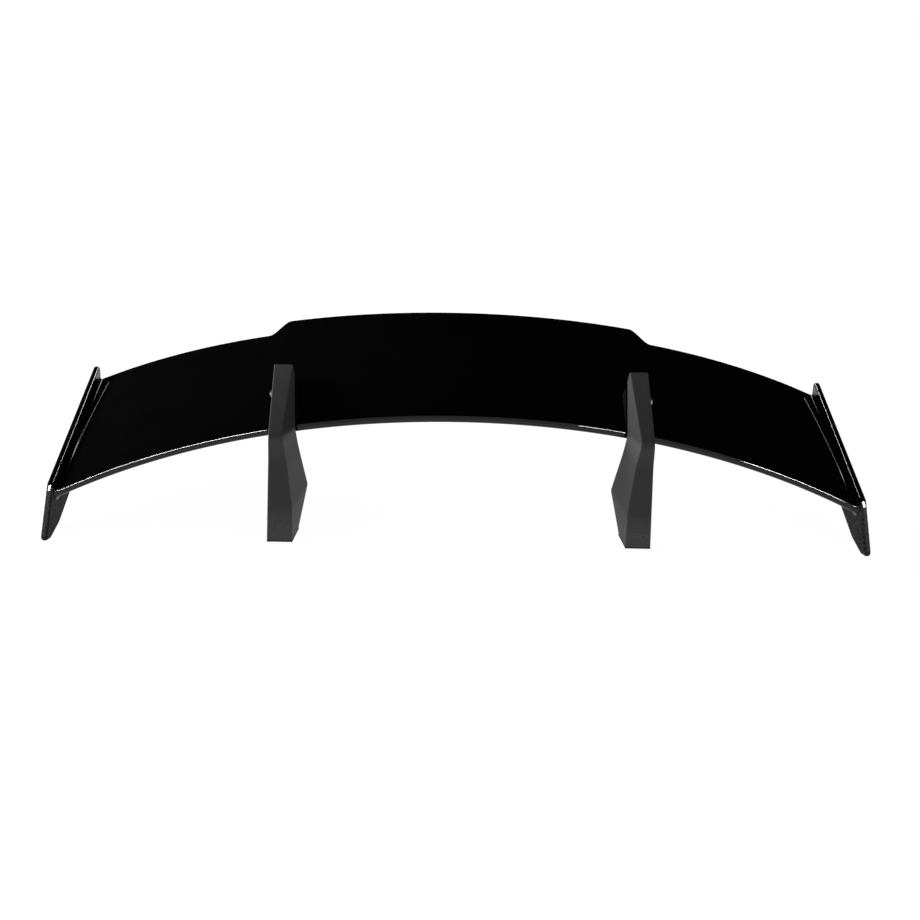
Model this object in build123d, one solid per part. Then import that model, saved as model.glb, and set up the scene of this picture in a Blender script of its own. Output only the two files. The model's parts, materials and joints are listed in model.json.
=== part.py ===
from build123d import *
import math
import os

# Racing rear wing on two swan-neck uprights. All sizes are in millimetres.
#
# Frame: +X to the right, +Y rearwards from leading edge to trailing edge, +Z up.
# Left and right are as seen from the front, looking rearwards.
# Origin of the finished part: bottom centre of its overall box.
# The outlines below are drawn from the point midway between the feet, in the plane that they
# rest on. main() moves the finished parts from there to the origin of the part.
#
# Sections of the wing are drawn in chord coordinates: "along" runs from the leading edge
# to the trailing edge, and "above" is square to the chord, towards the upper surface.

BOX_MIDDLE_Y = 182.6       # middle of the overall box, seen from the drawing point
BOX_BOTTOM_Z = -4.95       # lowest point of the end plates

# ---- wing planform and arch -------------------------------------------------------------
HALF_SPAN = 697.5          # to the outer end of the skins
ARCH_SPAN = 700.0          # half span that the arch and sweep formulas refer to
LEAD_Y = 85.0              # leading edge at the middle of the wing
LEAD_Z = 186.0
SWEEP = 54.0               # how far forward the tips lie
ARCH_DROP = 114.0          # how far the tips droop, square-law part
ARCH_TIP_DROP = 23.0       # extra droop close to the tips, fourth-power part
INCIDENCE = 12.1           # degrees, nose down
CHORD_MIDDLE = 282.0
CHORD_TIP_GAIN = 41.0      # chord at the tips is longer by this
REAR_EXTENSION = 40.0      # extra chord of the middle part
STEP_INNER = 327.0         # the middle part's trailing edge steps back between these
STEP_OUTER = 366.0

# ---- wing section -----------------------------------------------------------------------
NOSE_RADIUS = 7.5
TRAILING_THICKNESS = 4.5
SKIN = 2.6                 # wall of the skins
BOND = 20.0                # width of the bonded strip at the trailing edge
UPPER_NOSE_ANGLE = 105.0   # where the nose arc hands over to each surface
LOWER_NOSE_ANGLE = 250.0
UPPER_HANDLE = 30.0        # Bezier handles of the two surfaces
LOWER_HANDLE = 70.0
UPPER_REAR_HANDLE = (110.0, 9.0)
LOWER_REAR_HANDLE = (100.0, -16.0)
GLUE = 0.5                 # gap for adhesive between skins and inner pieces

# ---- inner structure --------------------------------------------------------------------
SPAR_FRONT = 152.0         # along the chord
SPAR_REAR = 186.0
SPAR_WALL = 2.5
SPAR_HALF_SPAN = 686.0
HARD_POINT_ALONG = (44.0, 60.0, 80.0, 100.0, 120.0, 136.0, 150.0)
HARD_POINT_HALF_WIDTH = 17.0
RIB_THICKNESS = 9.0
RIB_ALONG = (9.0, 20.0, 40.0, 70.0, 110.0, 150.0, 190.0, 230.0, 265.0, 290.0)

# ---- end plates -------------------------------------------------------------------------
PLATE_GAP = 0.5            # skins to end plate
PLATE_THICKNESS = 11.0
PLATE_EDGE_RADIUS = 4.5
# corners as (y, z, corner radius): rear top, front top, beak, keel front, keel, rear bottom
PLATE_CORNERS = (
    (366.0, 146.0, 8.0),
    (33.0, 76.0, 16.0),
    (-41.0, 4.0, 7.0),
    (-16.0, -5.0, 14.0),
    (32.0, -4.0, 60.0),
    (347.0, 72.0, 16.0),
)
PLATE_SCREW_ALONG = (42.0, 120.0, 225.0)
PLATE_SCREW_ABOVE = -3.0

# ---- uprights ---------------------------------------------------------------------------
NECK_X = 314.0             # mid plane of the neck plate, pivot and foot screws
NECK_THICKNESS = 8.0
COVER_WALL = 2.5
LID_THICKNESS = 3.0
LID_GAP = 0.25
# the cover's outer face is one flat plane: x = OUTER_X + OUTER_TOE * y + OUTER_LEAN * z
OUTER_X = 331.7
OUTER_TOE = 0.0827
OUTER_LEAN = -0.0583
ARM_TOP = 39.0             # above the chord line
ARM_BOTTOM = 18.5
ARM_END = 141.0            # along the chord
ARM_FRONT = -60.0
FOOT_HALF_DEPTH = 21.0
SOFT_STEPS = 3             # stations along each softened bend of the cover, less one
FRONT_BENDS = (6.0, 8.0, 10.0)     # length of each side of the bends: knee, neck, arm
REAR_BENDS = (4.0, 20.0, 4.0)
GASKET = 3.0
BLOCK_TOP = 19.0
BLOCK_X = (290.0, 326.0)
BLOCK_Y = (-14.0, 18.0)
FOOT_BOLT_X = 299.0
FOOT_BOLT_Y = 9.0
FOOT_BOLT_RADIUS = 2.5     # M6 thread, tapping size
FOOT_BOSS_RADIUS = 5.5     # stops the bolts from crushing the gasket
FOOT_SCREW_Y = 8.0
LID_SCREWS = ((13.0, 88.0), (52.0, 66.0), (38.0, 152.0))   # (y, z)
BOSS_RADIUS = 5.0

# ---- tilt joint -------------------------------------------------------------------------
PIVOT_ALONG = 72.0
ADJUSTER_ALONG = 98.0
PIVOT_ABOVE = 26.5
TILT_RANGE = 4.0           # degrees each way
PIVOT_RADIUS = 3.0         # M6 bolt
ADJUSTER_RADIUS = 2.5      # M5 bolt
RUNNING_CLEARANCE = 0.05
BUSH_RADIUS = 4.0
BUSH_FLANGE_RADIUS = 6.5
EAR_GAP = 0.5              # neck plate to clevis ear, filled by the bush flanges
EAR_THICKNESS = 4.0
PIVOT_NUT_HEIGHT = 4.0
ADJUSTER_NUT_HEIGHT = 3.0
BOLT_TIP = 0.3             # how far a bolt stands out of its nut
BASE_BOTTOM = 13.4         # clevis base, above the chord line
BASE_TOP = 16.2
BASE_ALONG = (50.0, 122.0)
BASE_HALF_WIDTH = 10.0
CLEVIS_SCREW_ALONG = (56.0, 85.0, 115.0)
PAD_ALONG = (50.0, 62.0, 74.0, 86.0, 98.0, 110.0, 122.0)

# ---- screws: (shank radius, head radius, head height) -------------------------------------
M4 = (2.0, 3.6, 2.4)
M5 = (2.5, 4.7, 3.2)
M6 = (3.0, 5.6, 2.7)
HOLE_CLEARANCE = 0.05      # radius added to a hole around a fixed shank


# ---- wing shape -------------------------------------------------------------------------
def rear_step(x):
    """1 over the middle part, 0 over the outer parts, a smooth S between them."""
    if abs(x) <= STEP_INNER:
        return 1.0
    if abs(x) >= STEP_OUTER:
        return 0.0
    ratio = (abs(x) - STEP_INNER) / (STEP_OUTER - STEP_INNER)
    return (1.0 + math.cos(math.pi * ratio)) / 2.0


def chord(x):
    return CHORD_MIDDLE + CHORD_TIP_GAIN * (x / ARCH_SPAN) ** 2 + REAR_EXTENSION * rear_step(x)


def wing_point(x, along, above):
    """A point of the wing from its span position and its chord coordinates."""
    ratio = x / ARCH_SPAN
    lead_y = LEAD_Y - SWEEP * ratio**2
    lead_z = LEAD_Z - ARCH_DROP * ratio**2 - ARCH_TIP_DROP * ratio**4
    cosine = math.cos(math.radians(INCIDENCE))
    sine = math.sin(math.radians(INCIDENCE))
    return Vector(x, lead_y + along * cosine - above * sine, lead_z + along * sine + above * cosine)


def nose_point(radius, angle):
    return (
        NOSE_RADIUS + radius * math.cos(math.radians(angle)),
        radius * math.sin(math.radians(angle)),
    )


def surface_controls(length, upper, inset):
    """Bezier control points of one surface, outer (inset 0) or inner (inset SKIN)."""
    angle = UPPER_NOSE_ANGLE if upper else LOWER_NOSE_ANGLE
    handle = UPPER_HANDLE if upper else LOWER_HANDLE
    back, height = UPPER_REAR_HANDLE if upper else LOWER_REAR_HANDLE
    side = 1.0 if upper else -1.0
    start = nose_point(NOSE_RADIUS - inset, angle)
    run = (
        side * math.sin(math.radians(angle)),
        -side * math.cos(math.radians(angle)),
    )
    second = (start[0] + handle * run[0], start[1] + handle * run[1])
    third = (length - back, height - side * inset)
    end = (length, side * TRAILING_THICKNESS / 2) if inset == 0 else (length - BOND, 0.0)
    return (start, second, third, end)


def surface_height(x, along, upper, inset):
    """Height above the chord of a surface at one place, by halving the Bezier parameter."""
    controls = surface_controls(chord(x), upper, inset)

    def bezier(t, axis):
        weights = ((1 - t) ** 3, 3 * t * (1 - t) ** 2, 3 * t**2 * (1 - t), t**3)
        return sum(w * point[axis] for w, point in zip(weights, controls))

    low, high = 0.0, 1.0
    for _ in range(40):
        middle = (low + high) / 2
        if bezier(middle, 0) < along:
            low = middle
        else:
            high = middle
    return bezier(low, 1)


def skin_face(x, upper):
    """Closed section of the upper or lower skin at one span position."""
    length = chord(x)
    side = 1.0 if upper else -1.0
    angle = UPPER_NOSE_ANGLE if upper else LOWER_NOSE_ANGLE
    half_way = (180.0 + angle) / 2

    def place(point):
        return wing_point(x, *point)

    outer = [place(point) for point in surface_controls(length, upper, 0)]
    inner = [place(point) for point in surface_controls(length, upper, SKIN)]
    lead = place((0.0, 0.0))
    lead_inner = place((SKIN, 0.0))
    trail_middle = place((length, 0.0))
    edges = [
        Edge.make_three_point_arc(lead, place(nose_point(NOSE_RADIUS, half_way)), outer[0]),
        Edge.make_bezier(*outer),
        Edge.make_line(outer[3], trail_middle),
        Edge.make_line(trail_middle, inner[3]),
        Edge.make_bezier(*reversed(inner)),
        Edge.make_three_point_arc(
            inner[0], place(nose_point(NOSE_RADIUS - SKIN, half_way)), lead_inner
        ),
        Edge.make_line(lead_inner, lead),
    ]
    return Face(Wire(edges))


def polygon_face(points):
    return Face(Wire.make_polygon(points, close=True))


def span_groups(half_span):
    """Groups of span stations: middle part, the two steps and the two outer parts."""
    step_count = 6
    step_width = (STEP_OUTER - STEP_INNER) / step_count
    step = [STEP_INNER + step_width * i for i in range(step_count + 1)]
    outer_count = 4
    outer_width = (half_span - STEP_OUTER) / outer_count
    outer = [STEP_OUTER + outer_width * i for i in range(outer_count + 1)]
    middle_count = 8
    middle = [STEP_INNER * (2 * i / middle_count - 1) for i in range(middle_count + 1)]
    right = [step, outer]
    left = [[-x for x in reversed(group)] for group in reversed(right)]
    return left + [middle] + right


def loft_along_span(make_face, half_span):
    """One body through all span stations, lofted group by group and joined."""
    pieces = [loft([make_face(x) for x in group]) for group in span_groups(half_span)]
    body = pieces[0]
    for piece in pieces[1:]:
        body = body + piece
    return body


def mirrored(shape):
    return mirror(shape, about=Plane.YZ)


# ---- inner structure --------------------------------------------------------------------
def spar_face(x, inset):
    """Quadrilateral between the skins, moved inwards by the glue gap and the inset."""
    front = SPAR_FRONT + inset
    rear = SPAR_REAR - inset
    drop = GLUE + inset
    return polygon_face(
        [
            wing_point(x, front, surface_height(x, front, True, SKIN) - drop),
            wing_point(x, rear, surface_height(x, rear, True, SKIN) - drop),
            wing_point(x, rear, surface_height(x, rear, False, SKIN) + drop),
            wing_point(x, front, surface_height(x, front, False, SKIN) + drop),
        ]
    )


def make_spar():
    outer = loft_along_span(lambda x: spar_face(x, 0.0), SPAR_HALF_SPAN)
    inner = loft_along_span(lambda x: spar_face(x, SPAR_WALL), SPAR_HALF_SPAN + 1.0)
    return outer - inner


def fill_between_skins(stations, along_places):
    """Solid that fills the space between the skins over some stations."""
    faces = []
    for x in stations:
        top = [wing_point(x, s, surface_height(x, s, True, SKIN) - GLUE) for s in along_places]
        bottom = [wing_point(x, s, surface_height(x, s, False, SKIN) + GLUE) for s in along_places]
        faces.append(polygon_face(top + bottom[::-1]))
    return loft(faces, ruled=True)


def make_hard_point():
    steps = (-1.0, -0.5, 0.0, 0.5, 1.0)
    stations = [NECK_X + HARD_POINT_HALF_WIDTH * step for step in steps]
    return fill_between_skins(stations, HARD_POINT_ALONG) - clevis_screw_holes()


def make_tip_rib():
    stations = (HALF_SPAN - RIB_THICKNESS, HALF_SPAN)
    return fill_between_skins(stations, RIB_ALONG) - plate_screw_shanks(HOLE_CLEARANCE)


# ---- screws -----------------------------------------------------------------------------
def frame_at(point, direction):
    """Plane whose z axis points along the direction, from the head into the material."""
    return Plane(origin=point, z_dir=direction)


def rod(point, direction, radius, length):
    plane = frame_at(point, direction)
    return plane * Cylinder(radius, length, align=(Align.CENTER, Align.CENTER, Align.MIN))


def countersunk_screw(point, direction, size, length):
    """Flat-headed screw with a hexagon socket. The point is the middle of the head's face."""
    radius, head_radius, head_height = size
    plane = frame_at(point, direction)
    low = (Align.CENTER, Align.CENTER, Align.MIN)
    head = plane * Cone(head_radius, radius, head_height, align=low)
    socket = plane * extrude(RegularPolygon(radius * 0.75, 6), head_height * 0.7)
    return head + rod(point, direction, radius, length) - socket


def countersink_hole(point, direction, size, length):
    """Space that a countersunk screw sits in."""
    radius, head_radius, head_height = size
    grow = HOLE_CLEARANCE
    plane = frame_at(point, direction)
    low = (Align.CENTER, Align.CENTER, Align.MIN)
    head = plane * Cone(head_radius + grow, radius + grow, head_height, align=low)
    return head + rod(point, direction, radius + grow, length)


def hexagon_nut(point, direction, bore, height):
    plane = frame_at(point, direction)
    outline = RegularPolygon(bore * 1.75, 6) - Circle(bore + HOLE_CLEARANCE)
    return plane * extrude(outline, height)


# ---- end plates -------------------------------------------------------------------------
def make_end_plate():
    outline = Polyline([(y, z) for y, z, _ in PLATE_CORNERS], close=True)
    face = make_face(outline)
    for y, z, radius in PLATE_CORNERS:
        corner = face.vertices().sort_by_distance((y, z, 0))[0]
        face = fillet(corner, radius)
    inner_x = HALF_SPAN + PLATE_GAP
    side_plane = Plane(origin=(inner_x, 0, 0), x_dir=(0, 1, 0), z_dir=(1, 0, 0))
    plate = extrude(side_plane * face, PLATE_THICKNESS)
    rims = plate.faces().filter_by(Axis.X).edges()
    plate = fillet(rims, PLATE_EDGE_RADIUS)
    for point in plate_screw_points():
        plate = plate - countersink_hole(point, (-1, 0, 0), M5, PLATE_THICKNESS + 1.0)
    return plate


def plate_screw_points():
    outer_x = HALF_SPAN + PLATE_GAP + PLATE_THICKNESS
    points = [wing_point(HALF_SPAN, s, PLATE_SCREW_ABOVE) for s in PLATE_SCREW_ALONG]
    return [Vector(outer_x, point.Y, point.Z) for point in points]


def plate_screw_shanks(grow):
    length = PLATE_THICKNESS + PLATE_GAP + RIB_THICKNESS + 1.0
    shanks = [rod(p, (-1, 0, 0), M5[0] + grow, length) for p in plate_screw_points()]
    return shanks[0] + shanks[1] + shanks[2]


def make_plate_screws():
    length = PLATE_THICKNESS + PLATE_GAP + RIB_THICKNESS - 1.0
    points = plate_screw_points()
    return Compound([countersunk_screw(p, (-1, 0, 0), M5, length).solid() for p in points])


# ---- tilt joint -------------------------------------------------------------------------
def neck_point(along, above, x=NECK_X):
    """A point in the upright's own chord coordinates, which are the wing's at NECK_X."""
    point = wing_point(NECK_X, along, above)
    return Vector(x, point.Y, point.Z)


def chord_direction():
    return (neck_point(1, 0) - neck_point(0, 0)).normalized()


def above_direction():
    return (neck_point(0, 1) - neck_point(0, 0)).normalized()


def side_profile(points, x_low, x_high):
    """Polygon in the side view, given in world y and z, extruded between two x values."""
    face = polygon_face([Vector(x_low, point.Y, point.Z) for point in points])
    return extrude(face, x_high - x_low, dir=(1, 0, 0))


def clevis_screw_points(above):
    return [neck_point(s, above) for s in CLEVIS_SCREW_ALONG]


def clevis_screw_holes():
    """Shank holes through skin, pad and hard point."""
    into_wing = above_direction() * -1
    holes = [rod(p, into_wing, M6[0] + HOLE_CLEARANCE, 26.0) for p in clevis_screw_points(BASE_BOTTOM)]
    return holes[0] + holes[1] + holes[2]


def make_clevis():
    low = NECK_X - BASE_HALF_WIDTH
    high = NECK_X + BASE_HALF_WIDTH
    base_corners = [
        neck_point(BASE_ALONG[0], BASE_BOTTOM),
        neck_point(BASE_ALONG[1], BASE_BOTTOM),
        neck_point(BASE_ALONG[1], BASE_TOP),
        neck_point(BASE_ALONG[0], BASE_TOP),
    ]
    clevis = side_profile(base_corners, low, high)
    pivot_ear = 8.0
    adjuster_ear = 7.0
    ear_corners = [
        neck_point(PIVOT_ALONG - pivot_ear, BASE_BOTTOM),
        neck_point(ADJUSTER_ALONG + adjuster_ear, BASE_BOTTOM),
        neck_point(ADJUSTER_ALONG + adjuster_ear, PIVOT_ABOVE),
        neck_point(ADJUSTER_ALONG, PIVOT_ABOVE + adjuster_ear),
        neck_point(PIVOT_ALONG, PIVOT_ABOVE + pivot_ear),
        neck_point(PIVOT_ALONG - pivot_ear, PIVOT_ABOVE),
    ]
    inner_face = NECK_THICKNESS / 2 + EAR_GAP
    for x_low in (NECK_X + inner_face, NECK_X - inner_face - EAR_THICKNESS):
        ear = side_profile(ear_corners, x_low, x_low + EAR_THICKNESS)
        for along, radius in ((PIVOT_ALONG, pivot_ear), (ADJUSTER_ALONG, adjuster_ear)):
            centre = neck_point(along, PIVOT_ABOVE, x_low)
            ear = ear + rod(centre, (1, 0, 0), radius, EAR_THICKNESS)
        clevis = clevis + ear
    through = 2 * BASE_HALF_WIDTH
    pivot = neck_point(PIVOT_ALONG, PIVOT_ABOVE, low)
    adjuster = neck_point(ADJUSTER_ALONG, PIVOT_ABOVE, low)
    clevis = clevis - rod(pivot, (1, 0, 0), PIVOT_RADIUS + HOLE_CLEARANCE, through)
    clevis = clevis - rod(adjuster, (1, 0, 0), ADJUSTER_RADIUS + HOLE_CLEARANCE, through)
    into_wing = above_direction() * -1
    for point in clevis_screw_points(BASE_TOP):
        clevis = clevis - countersink_hole(point, into_wing, M6, 10.0)
    return clevis


def make_clevis_pad():
    """Wedge between the sloping upper surface and the level base of the clevis."""
    faces = []
    for step in (-1.0, -0.5, 0.0, 0.5, 1.0):
        x = NECK_X + BASE_HALF_WIDTH * step
        lift = 0.2
        bottom = [wing_point(x, s, surface_height(x, s, True, 0) + lift) for s in PAD_ALONG]
        top = [neck_point(s, BASE_BOTTOM - 0.05, x) for s in (PAD_ALONG[-1], PAD_ALONG[0])]
        faces.append(polygon_face(bottom + top))
    return loft(faces, ruled=True) - clevis_screw_holes()


def make_clevis_screws():
    into_wing = above_direction() * -1
    points = clevis_screw_points(BASE_TOP)
    return Compound([countersunk_screw(p, into_wing, M6, 24.0).solid() for p in points])


def make_cross_bolt(along, radius, nut_height):
    """Bolt with a low socket head on the outer side and its shank through ears and nut."""
    head_height = 4.0
    grip_end = NECK_THICKNESS / 2 + EAR_GAP + EAR_THICKNESS
    under_head = neck_point(along, PIVOT_ABOVE, NECK_X + grip_end)
    head = rod(under_head, (1, 0, 0), radius * 1.65, head_height)
    shank = rod(under_head, (-1, 0, 0), radius, 2 * grip_end + nut_height + BOLT_TIP)
    face_point = neck_point(along, PIVOT_ABOVE, NECK_X + grip_end + head_height)
    socket = frame_at(face_point, (-1, 0, 0)) * extrude(RegularPolygon(radius * 0.8, 6), 2.4)
    return head + shank - socket


def make_cross_nut(along, radius, nut_height):
    grip_end = NECK_THICKNESS / 2 + EAR_GAP + EAR_THICKNESS
    point = neck_point(along, PIVOT_ABOVE, NECK_X - grip_end)
    return hexagon_nut(point, (-1, 0, 0), radius, nut_height)


def make_pivot_bush():
    """Flanged bush. Its flanges keep the ears clear of the neck plate."""
    flange = EAR_GAP - RUNNING_CLEARANCE
    start = NECK_X - NECK_THICKNESS / 2 - flange
    point = neck_point(PIVOT_ALONG, PIVOT_ABOVE, start)
    far_point = neck_point(PIVOT_ALONG, PIVOT_ABOVE, NECK_X + NECK_THICKNESS / 2)
    sleeve = rod(point, (1, 0, 0), BUSH_RADIUS, NECK_THICKNESS + 2 * flange)
    near_flange = rod(point, (1, 0, 0), BUSH_FLANGE_RADIUS, flange)
    far_flange = rod(far_point, (1, 0, 0), BUSH_FLANGE_RADIUS, flange)
    bore = rod(point, (1, 0, 0), PIVOT_RADIUS + RUNNING_CLEARANCE, NECK_THICKNESS + 2 * flange)
    return sleeve + near_flange + far_flange - bore


# ---- neck plate -------------------------------------------------------------------------
def make_neck_plate():
    """Flat swan-neck plate with the pivot hole and the arc slot of the adjuster."""
    corners = [
        Vector(0, -13.0, BLOCK_TOP),
        Vector(0, 16.0, BLOCK_TOP),
        Vector(0, 68.0, 60.0),
        Vector(0, 58.5, 146.0),
        Vector(0, 58.5, 180.5),
        neck_point(41.0, 22.0),
        neck_point(44.0, 18.6),
        neck_point(75.0, 18.6),
        neck_point(110.0, 19.6),
        neck_point(114.0, 25.0),
        neck_point(114.0, 31.0),
        neck_point(109.0, 35.4),
        neck_point(-48.0, 35.0),
        Vector(0, 18.5, 144.0),
    ]
    low = NECK_X - NECK_THICKNESS / 2
    plate = side_profile(corners, low, low + NECK_THICKNESS)
    pivot = neck_point(PIVOT_ALONG, PIVOT_ABOVE, low)
    plate = plate - rod(pivot, (1, 0, 0), BUSH_RADIUS + 0.02, NECK_THICKNESS)
    plate = plate - adjuster_slot(pivot)
    lightening_hole = rod(Vector(low, 30.0, 108.0), (1, 0, 0), 12.0, NECK_THICKNESS)
    plate = plate - lightening_hole
    for y, z in LID_SCREWS:
        plate = plate - rod(Vector(low, y, z), (1, 0, 0), M4[0] + HOLE_CLEARANCE, NECK_THICKNESS)
    for y in (-FOOT_SCREW_Y, FOOT_SCREW_Y):
        hole = rod(Vector(NECK_X, y, BLOCK_TOP), (0, 0, 1), M5[0] + HOLE_CLEARANCE, 14.0)
        plate = plate - hole
    return plate


def adjuster_slot(pivot):
    """Arc slot about the pivot, long enough for the tilt range."""
    reach = ADJUSTER_ALONG - PIVOT_ALONG
    half_width = ADJUSTER_RADIUS + 0.2
    side_plane = Plane(origin=pivot, x_dir=chord_direction(), z_dir=(1, 0, 0))
    ring = Circle(reach + half_width) - Circle(reach - half_width)
    wedge_reach = reach * 2
    angle = math.radians(TILT_RANGE)
    far = (wedge_reach * math.cos(angle), wedge_reach * math.sin(angle))
    wedge = make_face(Polyline([(0, 0), far, (far[0], -far[1])], close=True))
    ends = [
        Pos(reach * math.cos(angle), side * reach * math.sin(angle)) * Circle(half_width)
        for side in (-1, 1)
    ]
    outline = (ring & wedge) + ends[0] + ends[1]
    return extrude(side_plane * outline, NECK_THICKNESS)


# ---- cover, lid and foot ------------------------------------------------------------------
def outer_x(y, z):
    return OUTER_X + OUTER_TOE * y + OUTER_LEAN * z


def soft_corner(before, corner, after, reach):
    """Points of a parabola that rounds a corner off, starting and ending at the reach."""
    start = corner + (before - corner).normalized() * reach
    end = corner + (after - corner).normalized() * reach
    steps = [step / SOFT_STEPS for step in range(SOFT_STEPS + 1)]
    return [start * (1 - t) ** 2 + corner * (2 * t * (1 - t)) + end * t**2 for t in steps]


def soft_track(corners, reaches):
    """A track through the corners, with the inner ones rounded off."""
    track = [corners[0]]
    for index, reach in enumerate(reaches):
        track += soft_corner(corners[index], corners[index + 1], corners[index + 2], reach)
    return track + [corners[-1]]


def cover_stations():
    """Pairs of front and rear points on the cover's inner side, from foot to arm end."""
    front_corners = [
        Vector(286.5, -FOOT_HALF_DEPTH, GASKET),
        Vector(286.0, -6.4, 61.0),
        Vector(294.5, 14.0, 144.0),
        neck_point(ARM_FRONT, ARM_TOP, 299.0),
        neck_point(ARM_END, ARM_TOP, 302.0),
    ]
    rear_corners = [
        Vector(280.0, FOOT_HALF_DEPTH, GASKET),
        Vector(268.0, 77.0, 58.0),
        Vector(279.5, 63.0, 146.0),
        neck_point(-7.4, ARM_BOTTOM, 283.0),
        neck_point(ARM_END - 2.0, ARM_BOTTOM, 300.0),
    ]
    return list(zip(soft_track(front_corners, FRONT_BENDS), soft_track(rear_corners, REAR_BENDS)))


def cover_face(front, rear, outer_gain):
    """Section of the cover, whose outer side lies in one plane."""
    return polygon_face(
        [
            Vector(outer_x(front.Y, front.Z) + outer_gain, front.Y, front.Z),
            Vector(outer_x(rear.Y, rear.Z) + outer_gain, rear.Y, rear.Z),
            rear,
            front,
        ]
    )


def cover_outside():
    faces = [cover_face(front, rear, 0.0) for front, rear in cover_stations()]
    return loft(faces, ruled=True)


def moved_along(point, neighbour, distance):
    """The point, moved towards its neighbour on the track, or away if negative."""
    return point + (neighbour - point).normalized() * distance


def inset_stations(inset, foot_rise, end_gap):
    """The cover's stations moved in from its walls, with both ends moved along their tracks."""
    stations = []
    for front, rear in cover_stations():
        across = Vector(0, rear.Y - front.Y, rear.Z - front.Z).normalized() * inset
        inwards = Vector(inset, 0, 0)
        stations.append((front + across + inwards, rear - across + inwards))
    foot = [moved_along(a, b, foot_rise) for a, b in zip(stations[0], stations[1])]
    end = [moved_along(a, b, end_gap) for a, b in zip(stations[-1], stations[-2])]
    return [tuple(foot)] + stations[1:-1] + [tuple(end)]


def cover_cavity():
    """Inside of the cover, open at the foot and on the outer side."""
    stations = inset_stations(COVER_WALL, -2.0, COVER_WALL)
    return loft([cover_face(front, rear, 8.0) for front, rear in stations], ruled=True)


def arm_opening():
    """Gap in the arm's underside that the clevis ears come up through."""
    faces = []
    for along, inner_x in ((41.0, 292.5), (ARM_END - 2.0 * COVER_WALL, 302.5)):
        corners = ((10.0, inner_x), (10.0, 345.0), (24.0, 345.0), (24.0, inner_x))
        faces.append(polygon_face([neck_point(along, above, x) for above, x in corners]))
    return loft(faces, ruled=True)


def make_cover():
    outside = cover_outside()
    cover = outside - cover_cavity() - arm_opening()
    boss_end = NECK_X - NECK_THICKNESS / 2 - 0.1
    for y, z in LID_SCREWS:
        far_inside = Vector(260.0, y, z)
        boss = rod(far_inside, (1, 0, 0), BOSS_RADIUS, boss_end - far_inside.X)
        cover = cover + (boss & outside)
    for y, z in LID_SCREWS:
        tip = Vector(boss_end, y, z)
        cover = cover - rod(tip, (-1, 0, 0), M4[0] + HOLE_CLEARANCE, 10.0)
    return cover


def outer_slab(low, high):
    """Slab between two planes parallel to the cover's outer face, as distances from it."""
    normal = Vector(1.0, -OUTER_TOE, -OUTER_LEAN).normalized()
    plane = Plane(origin=Vector(OUTER_X, 0, 0) + normal * low, z_dir=normal)
    reach = 900.0
    return plane * Box(reach, reach, high - low, align=(Align.CENTER, Align.CENTER, Align.MIN))


def make_lid():
    """Flat lid set into the open outer side of the cover, with bosses that reach the plate."""
    stations = inset_stations(COVER_WALL + LID_GAP, 0.5, COVER_WALL + LID_GAP)
    outline = [station[0] for station in stations] + [station[1] for station in reversed(stations)]
    lid = side_profile(outline, 300.0, 360.0) & outer_slab(-LID_THICKNESS, 0.0)
    boss_start = NECK_X + NECK_THICKNESS / 2 + 0.1
    for y, z in LID_SCREWS:
        boss = rod(Vector(boss_start, y, z), (1, 0, 0), BOSS_RADIUS, 30.0)
        lid = lid + (boss & outer_slab(-30.0, -LID_THICKNESS / 2))
    for y, z in LID_SCREWS:
        lid = lid - lid_screw_hole(y, z)
    return lid - pivot_window()


def lid_screw_face(y, z):
    """Middle of a lid screw's head face, just below the tilted outer face of the lid."""
    sink = 0.7
    return Vector(outer_x(y, z) - sink, y, z)


def lid_screw_hole(y, z):
    face = lid_screw_face(y, z)
    mouth = rod(face, (1, 0, 0), M4[1] + HOLE_CLEARANCE, 5.0)
    return countersink_hole(face, (-1, 0, 0), M4, 30.0) + mouth


def make_lid_screws():
    screws = []
    for y, z in LID_SCREWS:
        face = lid_screw_face(y, z)
        plate_inner = NECK_X - NECK_THICKNESS / 2
        length = face.X - plate_inner + 8.0
        screws.append(countersunk_screw(face, (-1, 0, 0), M4, length).solid())
    return Compound(screws)


def pivot_window():
    """Round window in the lid beside the pivot bolt."""
    point = neck_point(PIVOT_ALONG, PIVOT_ABOVE, NECK_X + 10.0)
    return rod(point, (1, 0, 0), 5.0, 30.0)


def make_pivot_cap():
    """Round-edged cap that closes the window in the lid."""
    point = neck_point(PIVOT_ALONG, PIVOT_ABOVE)
    face = outer_x(point.Y, point.Z)
    stem_radius = 4.9
    stem_length = 2.4
    rim_radius = 6.5
    rim_height = 3.0
    rim_start = face + 0.8
    stem = rod(Vector(rim_start - stem_length, point.Y, point.Z), (1, 0, 0), stem_radius, stem_length)
    rim = rod(Vector(rim_start, point.Y, point.Z), (1, 0, 0), rim_radius, rim_height)
    rim = fillet(rim.edges().sort_by(Axis.X)[-1], 2.2)
    return stem + rim


def foot_bosses(radius, bottom, top):
    """Round columns at the vehicle's bolts."""
    columns = []
    for y in (-FOOT_BOLT_Y, FOOT_BOLT_Y):
        columns.append(rod(Vector(FOOT_BOLT_X, y, bottom), (0, 0, 1), radius, top - bottom))
    return columns[0] + columns[1]


def make_foot_block():
    """Block with the vehicle's threads, on two bosses that pass through the gasket."""
    front, rear = BLOCK_Y
    corners = [Vector(0, front, GASKET), Vector(0, rear, GASKET)]
    corners += [Vector(0, rear, BLOCK_TOP), Vector(0, front, BLOCK_TOP)]
    block = side_profile(corners, *BLOCK_X)
    block = block + foot_bosses(FOOT_BOSS_RADIUS, 0.0, BLOCK_TOP)
    block = block - foot_bosses(FOOT_BOLT_RADIUS, 0.0, BLOCK_TOP)
    for y in (-FOOT_SCREW_Y, FOOT_SCREW_Y):
        start = Vector(NECK_X, y, GASKET)
        block = block - countersink_hole(start, (0, 0, 1), M5, BLOCK_TOP)
    return block


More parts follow.
